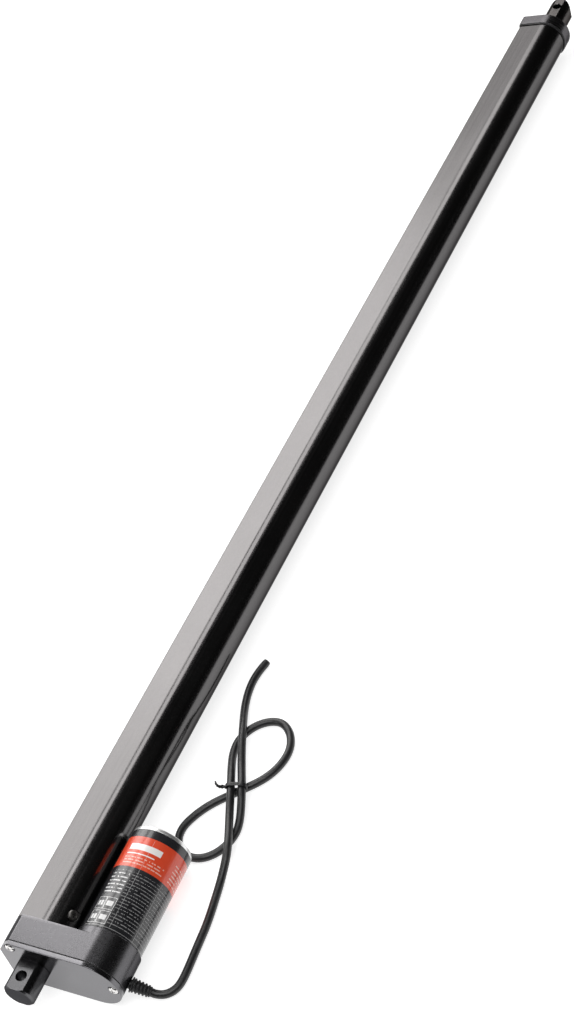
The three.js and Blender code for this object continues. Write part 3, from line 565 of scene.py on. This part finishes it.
# ------------------------------------------------------------------ outer tube, front cap, seals
o = rprism("outer_tube_visual", tube_outline(), 40.05, 864.8, 0.12, 0.12, 2)
o = boolean(o, rprism("c", tube_outline(-2.0, 72, 0.8), 39, 866))
u_, d_, w_ = basis(SD)
c0 = SD * (TUBE_R + 1.2) + Vector((0, 48.0, 0))
side = Vector((-SD.z, 0, SD.x))
verts = [tuple(c0 + SD * a + Vector((0, 1, 0)) * b + side * c) for a in (-2, 2) for b in (-7.5, 7.5) for c in (-7, 7)]
o = boolean(o, obj_from("c", verts, [(0, 1, 3, 2), (4, 6, 7, 5), (0, 4, 5, 1), (2, 3, 7, 6), (0, 2, 6, 4), (1, 5, 7, 3)]))
o = boolean(o, lathe("c", [(0, -5), (1.6, -5), (1.6, 5), (0, 5)], 24, tuple(SD * 13 + Vector((0, 51.8, 0))), tuple(SD)))
place(settle(o, 25), "housing", ["outer_tube"], TUBE)

o = rprism("front_cap_visual", tube_outline(1.1), 865.9, 876.3, 0.35, 1.0, 5)
o = boolean(o, rprism("c", tube_outline(-2.25, 64, 0.8), 846, 866.5), "UNION")
o = boolean(o, lathe("c", [(0, 845), (11.6, 845), (11.6, 871), (10.2, 871), (10.2, 875.7), (11.0, 876.5), (11.0, 878), (0, 878)], 96))
place(settle(o), "housing", ["front_cap"], CAP)

o = rprism("front_gasket_visual", tube_outline(0.75), 864.85, 865.85, 0.25, 0.25, 3)
o = boolean(o, rprism("c", tube_outline(-2.0, 72, 0.8), 864, 867))
place(settle(o), "housing", ["front_gasket"], RUBBER)
place(settle(lathe("rod_wiper_visual", rounded([(9.95, 863), (11.4, 862.5), (11.4, 870.6), (10.9, 870.7), (10.4, 870.0), (9.95, 870.6), (9.95, 863)], 0.2, 2), 72)), "housing", ["rod_wiper"], RUBBER)
place(settle(lathe("guide_bush_visual", [(9.9, 846.8), (10.2, 846.5), (11.4, 846.5), (11.4, 862), (10.2, 862), (9.9, 861.7)], 72)), "housing", ["guide_bush"], NYLON)

# ------------------------------------------------------------------ rod
place(settle(lathe("inner_rod_visual", [(7.2, 78.2), (9.5, 78.2), (9.8, 78.6), (9.8, 876.2), (9.45, 876.6), (7.2, 876.6)], 96)), "rod", ["inner_rod"], ROD)

o = rprism("rod_end_visual", [(x, z) for x, z in circle(9.4, 96)], 876.9, 905.5)
tip = []
for i in range(49):
    a = math.pi * i / 48
    tip.append((9.5 * math.cos(a), 896 + 9.5 * math.sin(a)))
ver = [(x, y, z) for z in (-15, 15) for x, y in [(12, 870), (12, 896)] + tip + [(-12, 896), (-12, 870)]]
m_ = len(ver) // 2
fac = [tuple(range(m_)), tuple(range(m_, 2 * m_))] + [(i, (i + 1) % m_, m_ + (i + 1) % m_, m_ + i) for i in range(m_)]
o = boolean(o, obj_from("c", ver, fac), "INTERSECT")
o = boolean(o, block("c", -20, 20, 870, 910, 8.8, 20))
o = boolean(o, block("c", -20, 20, 870, 910, -20, -8.8))
bevelled(o, 0.8, 4, 28)
settle(o)
o = boolean(o, lathe("c", [(0, 862), (6.7, 862), (7.05, 862.4), (7.05, 877.6), (0, 877.6)], 64), "UNION")
for s_ in (1, -1):
    o = boolean(o, lathe("c", cut_profile(PIN_R, 12, 0.35), 48, (0, FRONT_HOLE_Y, s_ * 8.8), (0, 0, -s_)))
place(settle(o), "rod", ["rod_end"], EYE)

# ------------------------------------------------------------------ motor
place(settle(lathe("motor_can_visual", rounded([(5.2, 40.4), (18.2, 40.4), (18.6, 40.8), (18.6, 111.4), (17.2, 111.4), (17.2, 41.9), (5.2, 41.9), (5.2, 40.4)], 0.2, 2), 96, (MX, 0, 0))), "housing", ["motor_can"], STEEL)
place(settle(lathe("label_sleeve_visual", [(18.65, 44.9), (18.9, 44.9), (19.0, 45.0), (19.0, 111.1), (18.9, 111.3), (18.65, 111.3)], 160, (MX, 0, 0))), "housing", ["motor_label_sleeve"], LABEL)
cap = rounded([(0, 117.3), (5.5, 117.3), (6.0, 116.7), (6.0, 114.45), (8.2, 114.3), (13.9, 114.3), (14.3, 113.9), (15.6, 113.9), (16.0, 114.3), (17.5, 114.3), (18.45, 113.6), (18.6, 112.9), (18.6, 111.5), (17.0, 111.5), (17.0, 108.9), (15.5, 108.9), (15.5, 112.4), (3.2, 112.4), (3.2, 116.3), (0, 116.3)], 0.3, 3)
o = lathe("motor_end_cap_visual", cap, 128, (MX, 0, 0))
for k in range(2):   # brush access slots
    a = math.pi / 2 + k * math.pi
    o = boolean(o, lathe("c", [(0, 111), (1.5, 111), (1.5, 116), (0, 116)], 24, (MX + 11 * math.cos(a), 0, 11 * math.sin(a))))
place(settle(o), "housing", ["motor_end_cap"], SILVER)

# ------------------------------------------------------------------ strain relief
BD = Vector((math.cos(BA), 0.10, math.sin(BA))).normalized()
BAT = Vector((MX + 14.6 * math.cos(BA), 29.2, 14.6 * math.sin(BA)))
prof = [(0, 0), (2.8, 0), (2.8, 6.1), (4.3, 6.3), (4.5, 6.5), (4.5, 7.0), (4.35, 7.2)]
for i in range(5):
    y, r = 7.35 + i * 2.1, 4.15 - i * 0.16
    prof += [(r - 0.75, y), (r - 0.12, y + 0.22), (r, y + 0.45), (r, y + 1.05), (r - 0.12, y + 1.28), (r - 0.75, y + 1.5)]
prof += [(3.1, 17.75), (3.0, 18.15), (2.8, 18.4), (2.55, 18.4), (2.55, 17.0), (0, 17.0)]
boot = place(settle(lathe("strain_relief_visual", prof, 64, BAT, BD), 50), "housing", ["strain_relief"], BOOT)

# ------------------------------------------------------------------ cable
ROUTE = [
    (66.84, 31.12, -15.35), (68.3, 31.25, -16.03), (71.84, 32.21, -17), (74.99, 34.26, -17.3), (77.35, 37.18, -17.35), (78.7, 40.68, -17.35),
    (79, 46.6, -17.35), (78.6, 54.4, -17.35), (78, 62.4, -17.35), (77.43, 70.41, -17.35), (76.79, 79.4, -17.35), (75.62, 88.35, -17.36),
    (74.14, 97.25, -17.35), (72.85, 105.16, -17.1), (71.77, 113.87, -15.37), (71.04, 122.13, -12.2), (68.82, 129.6, -11.19), (65.28, 137.87, -11.65),
    (61.5, 146.04, -12.24), (58.35, 153.4, -12.17), (55.04, 161.75, -11.36), (51.42, 169.97, -11.36), (47.43, 177.94, -12.69), (43.9, 184.94, -14.41),
    (40.4, 193.01, -16.28), (38.77, 201.66, -17.25), (40.47, 209.3, -17.35), (45.32, 216.72, -17.35), (52.68, 221.55, -17.35), (60.12, 222.24, -17.35),
    (67.29, 217.45, -17.35), (71.88, 209.85, -17.35), (73.41, 202.12, -17.35), (72.21, 193.28, -17.35), (68.79, 185, -17.35), (63.47, 177.8, -17.35),
    (57.81, 172.13, -17.35), (51.38, 165.81, -17.35), (45, 159.45, -17.35), (40.01, 153.21, -17.35), (35.57, 145.38, -17.35), (32.76, 136.97, -17.35),
    (33.65, 129.26, -17.35), (38.68, 122.21, -17.35), (46.77, 119.36, -17.35), (54.4, 120.91, -17.35), (61, 126.46, -17.35), (65.05, 134.38, -17.36),
    (66.5, 143.05, -17.12), (65.36, 150.8, -15.83), (63.03, 159.13, -13.29), (60.05, 167.35, -11.37), (56.62, 174.55, -11.42), (52.54, 182.56, -12),
    (48.8, 190.75, -11.62), (45.66, 198.1, -11), (42.07, 206.33, -11.32), (38.2, 214.21, -13.27), (34.35, 222.01, -15.58), (31.39, 229.34, -16.87),
    (29.04, 238, -17.37), (28.05, 246.93, -17.35), (28.56, 254.9, -17.35), (30.5, 263.7, -17.35),
]
# the cable starts a little inside the mouth of the strain relief
ROUTE = [tuple(BAT + BD * 17.3)] + ROUTE
def catmull(points, per=10):
    p = [Vector(q) for q in points]
    p = [p[0] * 2 - p[1]] + p + [p[-1] * 2 - p[-2]]
    out = []
    for i in range(1, len(p) - 2):
        a, b, c, d = p[i - 1], p[i], p[i + 1], p[i + 2]
        t0, t1, t2 = (max(1e-4, (q - r).length ** 0.5) for q, r in ((b, a), (c, b), (d, c)))
        m1 = ((b - a) / t0 - (c - a) / (t0 + t1) + (c - b) / t1) * t1
        m2 = ((c - b) / t1 - (d - b) / (t1 + t2) + (d - c) / t2) * t1
        for k in range(per):
            s = k / per
            out.append(b * (2 * s ** 3 - 3 * s * s + 1) + m1 * (s ** 3 - 2 * s * s + s) + c * (-2 * s ** 3 + 3 * s * s) + m2 * (s ** 3 - s * s))
    out.append(p[-2])
    return out

def even(points, step):
    out, left = [points[0]], step
    for a, b in zip(points, points[1:]):
        seg = (b - a).length
        while seg >= left:
            a = a + (b - a) * (left / seg)
            seg -= left
            out.append(a)
            left = step
        left -= seg
    if (out[-1] - points[-1]).length > step * 0.3:
        out.append(points[-1])
    else:
        out[-1] = points[-1]
    return out

def smoothed(points, rounds, floor=None):
    pts = [p.copy() for p in points]
    for _ in range(rounds):
        new = [p.copy() for p in pts]
        for i in range(3, len(pts) - 2):
            new[i] = pts[i] * 0.5 + (pts[i - 1] + pts[i + 1]) * 0.25
        pts = new
    return pts

def sweep(name, path, ring, close=True, roll=0.0, twist=0.0):
    """a section drawn along a path with the least turning; ring is a list of (a, b), or a function of the position from 0 to 1"""
    n = len(path)
    tan = [(path[min(i + 1, n - 1)] - path[max(i - 1, 0)]).normalized() for i in range(n)]
    u = tan[0].cross(Vector((0, 0, 1)))
    u = (u if u.length > 1e-3 else Vector((1, 0, 0))).normalized()
    verts, faces, length, m = [], [], 0.0, 0
    for i in range(n):
        if i:
            length += (path[i] - path[i - 1]).length
            u = (u - tan[i] * u.dot(tan[i])).normalized()
        w = tan[i].cross(u).normalized()
        r = ring(i / (n - 1)) if callable(ring) else ring
        m = len(r)
        c, s = math.cos(roll + twist * length), math.sin(roll + twist * length)
        verts += [tuple(path[i] + u * (a * c - b * s) + w * (a * s + b * c)) for a, b in r]
    for i in range(n - 1):
        for k in range(m):
            j = (k + 1) % m
            faces.append((i * m + k, i * m + j, (i + 1) * m + j, (i + 1) * m + k))
    faces += [tuple(range(m)), tuple((n - 1) * m + k for k in range(m))]
    return obj_from(name, verts, faces)

line = smoothed(even(catmull(ROUTE), 1.6), 3)
CORD_LEN = sum((b - a).length for a, b in zip(line, line[1:]))
def sheath(t):
    """slightly rolled in where the sheath was cut"""
    L = t * CORD_LEN
    r = CORD_R - 0.25 * max(0.0, 1 - (CORD_LEN - L) / 0.5)
    return circle(r, 20)
cable = sweep("power_cable_visual", line, sheath)
place(settle(cable, 50), "housing", ["power_cable"], CORD)

# the two cores and their bare strands at the cut end
END, ED = line[-1], (line[-1] - line[-3]).normalized()
sideways = ED.cross(Vector((0, 0, 1))).normalized()
for k, (m, s_) in enumerate(((WIRE_RED, 1), (WIRE_BLACK, -1))):
    start = END - ED * 1.9 + sideways * (1.05 * s_)
    p = [start + ED * (0.28 * i) for i in range(8)]
    w = place(settle(sweep("cable_core_%d" % (k + 1), p, circle(0.88, 16)), 50), "housing", [], m)
    for j in range(7):
        a = 2 * math.pi * j / 6
        off = Vector((0, 0, 0)) if j == 6 else (sideways * math.cos(a) + Vector((0, 0, 1)) * math.sin(a)) * 0.27
        q = [p[-1] + off - ED * 0.9 + ED * (0.14 * i) for i in range(8)]
        place(settle(sweep("cable_strand_%d_%d" % (k + 1, j + 1), q, circle(0.13, 8)), 60), "housing", [], STRAND)

# wire tie: a flat covered wire taken twice round the two strands, its ends twisted together
TA = math.atan2(1.71, 6.67)
TX, TY = Vector((math.cos(TA), math.sin(TA), 0)), Vector((-math.sin(TA), math.cos(TA), 0))
TC = Vector((55.84, 168.61, TIE_Z))
def track(s, w=6.66, h=3.31):
    """a point round the racetrack, s in turns, starting at the left end"""
    straight, half = 2 * (w - h), math.pi * h
    total = 2 * straight + 2 * half
    d = ((s % 1.0) * total + half / 2) % total
    if d < half:
        a = 1.5 * math.pi - d / h
        return Vector((-(w - h) + h * math.cos(a), h * math.sin(a)))
    d -= half
    if d < straight:
        return Vector((-(w - h) + d, h))
    d -= straight
    if d < half:
        a = math.pi / 2 - d / h
        return Vector(((w - h) + h * math.cos(a), h * math.sin(a)))
    return Vector(((w - h) - (d - half), -h))
loops = []
for i in range(161):
    s = 2.0 * i / 160
    q = track(s)
    loops.append(TC + TX * q.x + Vector((0, 0, 1)) * q.y + TY * (-0.85 + 1.7 * i / 160))
flat = [(-0.32, -0.55), (-0.18, -0.72), (0.18, -0.72), (0.32, -0.55), (0.32, 0.55), (0.18, 0.72), (-0.18, 0.72), (-0.32, 0.55)]
def flat_sweep(name, path, wide, half_w, half_t):
    """a flat strip whose wide side keeps to one direction"""
    verts, faces, n = [], [], len(path)
    ringp = [(-half_t, -half_w * 0.7), (-half_t * 0.5, -half_w), (half_t * 0.5, -half_w), (half_t, -half_w * 0.7), (half_t, half_w * 0.7), (half_t * 0.5, half_w), (-half_t * 0.5, half_w), (-half_t, half_w * 0.7)]
    for i, p in enumerate(path):
        t = (path[min(i + 1, n - 1)] - path[max(i - 1, 0)]).normalized()
        w = wide(i / (n - 1))
        w = (w - t * w.dot(t)).normalized()
        v = t.cross(w)
        verts += [tuple(p + v * a + w * b) for a, b in ringp]
    m = len(ringp)
    for i in range(n - 1):
        for k in range(m):
            faces.append((i * m + k, i * m + (k + 1) % m, (i + 1) * m + (k + 1) % m, (i + 1) * m + k))
    faces += [tuple(range(m)), tuple((n - 1) * m + k for k in range(m))]
    return obj_from(name, verts, faces)
tie = place(settle(flat_sweep("twist_tie_visual", loops, lambda t: TY, 0.75, 0.3), 40), "housing", ["twist_tie"], TIE)
start = TC - TX * 6.9
Z = Vector((0, 0, 1))
for k in range(2):
    pts = []
    for i in range(61):
        t = i / 60
        a = math.pi * k + t * 4.2 * math.pi
        spread = 0.5 * min(1.0, t * 5)
        lift = max(0.0, t - 0.45) / 0.55
        pts.append(start - TX * (7.2 * (t - 0.30 * lift * lift)) + Z * (4.2 * lift * lift) + (TY * math.cos(a) + Z * math.sin(a)) * spread)
    w = sweep("twist_tie_tail_%d" % (k + 1), pts, [(a * 1.0, b * 0.62) for a, b in circle(0.78, 12)])
    place(settle(w, 50), "housing", [], TIE)

# ------------------------------------------------------------------ CAD nodes that stay, with a finish each
KEEP = {
    "idler_axle": STEEL, "rear_bearing": STEEL, "front_bearing": STEEL, "magnet_upper": MAGNET, "magnet_lower": MAGNET,
    "brush_holder": SWITCH, "brush_left": MAGNET, "brush_right": MAGNET, "motor_front_bush": BRASS, "motor_rear_bush": BRASS,
    "limit_switch_board": BOARD, "limit_switch_rear": SWITCH, "limit_switch_front": SWITCH, "drive_nut": NYLON,
    "lead_screw": STEEL, "output_gear": NYLON, "idler_gear": NYLON, "motor_shaft": STEEL, "pinion": BRASS,
    "armature_core": LAMINATION, "armature_winding": COPPER, "commutator": COMMUTATOR,
}
for name, material in KEEP.items():
    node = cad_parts[name]
    node.data.materials.clear()
    node.data.materials.append(material)

# ------------------------------------------------------------------ floor
g = Net("floor_white")
tone = g.ramp(g.noise(3.0, 2, 0.5), 0.3, 0.7, 0.0, 1.0)
g.set(color=g.mix(tone, (0.54, 0.54, 0.54), (0.56, 0.56, 0.56)), rough=0.9, spec=0.1)
g.b.inputs["Emission Color"].default_value = (1, 1, 1, 1)
g.b.inputs["Emission Strength"].default_value = 0.80
me = bpy.data.meshes.new("floor")
me.from_pydata([(-12, -12, -0.02005), (12, -12, -0.02005), (12, 12, -0.02005), (-12, 12, -0.02005)], [], [(0, 1, 2, 3)])
floor = bpy.data.objects.new("floor", me)
SCENE.collection.objects.link(floor)
me.materials.append(g.m)

# ------------------------------------------------------------------ lights
def area_light(name, direction, distance, size, power, target=(0.02, 0.40, 0.0), color=(1, 1, 1), size_y=None):
    d = Vector(direction).normalized()
    data = bpy.data.lights.new(name, "AREA")
    data.energy, data.size, data.color = power, size, color
    if size_y:
        data.shape, data.size_y = "RECTANGLE", size_y
    l = bpy.data.objects.new(name, data)
    SCENE.collection.objects.link(l)
    l.location = Vector(target) + d * distance
    l.rotation_euler = (-d).to_track_quat("-Z", "Y").to_euler()
    return l
def panel(name, centre, target, across, along, radiance, color=(1, 1, 1)):
    """a soft panel whose long side lies level along Y"""
    data = bpy.data.lights.new(name, "AREA")
    data.shape, data.size, data.size_y = "RECTANGLE", across, along
    data.energy, data.color = radiance * math.pi * across * along, color
    l = bpy.data.objects.new(name, data)
    SCENE.collection.objects.link(l)
    z = (Vector(centre) - Vector(target)).normalized()
    y = Vector((0, 1, 0))
    y = (y - z * y.dot(z)).normalized()
    x = y.cross(z)
    l.matrix_world = Matrix.Translation(centre) @ Matrix((x, y, z)).transposed().to_4x4()
    return l
WARM = (1.0, 0.988, 0.975)
panel("key_long", (-1.65, 1.97, 1.10), (0.0, 0.9, 0.0), 1.0, 3.85, 2.3, WARM)
panel("key_near", (-1.64, 1.17, 1.10), (0.0, 0.9, 0.0), 1.0, 2.25, 1.7, WARM)
panel("key_middle", (-1.63, 1.75, 1.10), (0.0, 0.9, 0.0), 1.0, 1.1, 1.1, WARM)
panel("upper_softbox", (-1.08, 1.95, 2.10), (0.0, 0.5, 0.0), 0.8, 2.2, 4.0, WARM)
panel("gearbox_softbox", (-1.50, 0.60, 2.30), (0.0, 0.1, 0.0), 1.2, 1.4, 0.9)
panel("low_strip", (-2.00, 1.10, 0.45), (0.0, 0.2, 0.0), 0.5, 1.6, 2.5)
panel("zenith_softbox", (0.35, -0.30, 2.6), (0.05, 0.3, 0.0), 1.8, 1.8, 3.6)
panel("edge_softbox", (-1.10, -1.60, 1.40), (0.0, 0.0, 0.0), 0.8, 0.8, 4.0)
world = bpy.data.worlds.new("studio")
SCENE.world = world
world.use_nodes = True
bg = world.node_tree.nodes["Background"]
bg.inputs[0].default_value, bg.inputs[1].default_value = (1, 1, 1, 1), 0.02
SCENE.view_settings.view_transform = "Standard"
SCENE.view_settings.look = "None"
SCENE.view_settings.exposure = 0.0

# ------------------------------------------------------------------ camera
cam = bpy.data.cameras.new("camera")
cam.lens, cam.sensor_width, cam.sensor_fit = 77.87, 36.0, "AUTO"
cam.clip_start, cam.clip_end = 0.05, 60
co = bpy.data.objects.new("camera", cam)
SCENE.collection.objects.link(co)
right, up, fwd = Vector((0.88027484, 0.40405186, -0.24871328)), Vector((-0.1497082, 0.73395409, 0.66249441)), Vector((-0.45022623, 0.54594275, -0.7065712))
rot = Matrix((right, up, -fwd)).transposed().to_4x4()
co.matrix_world = Matrix.Translation((0.6485, -0.4160, 1.0161)) @ rot
SCENE.camera = co
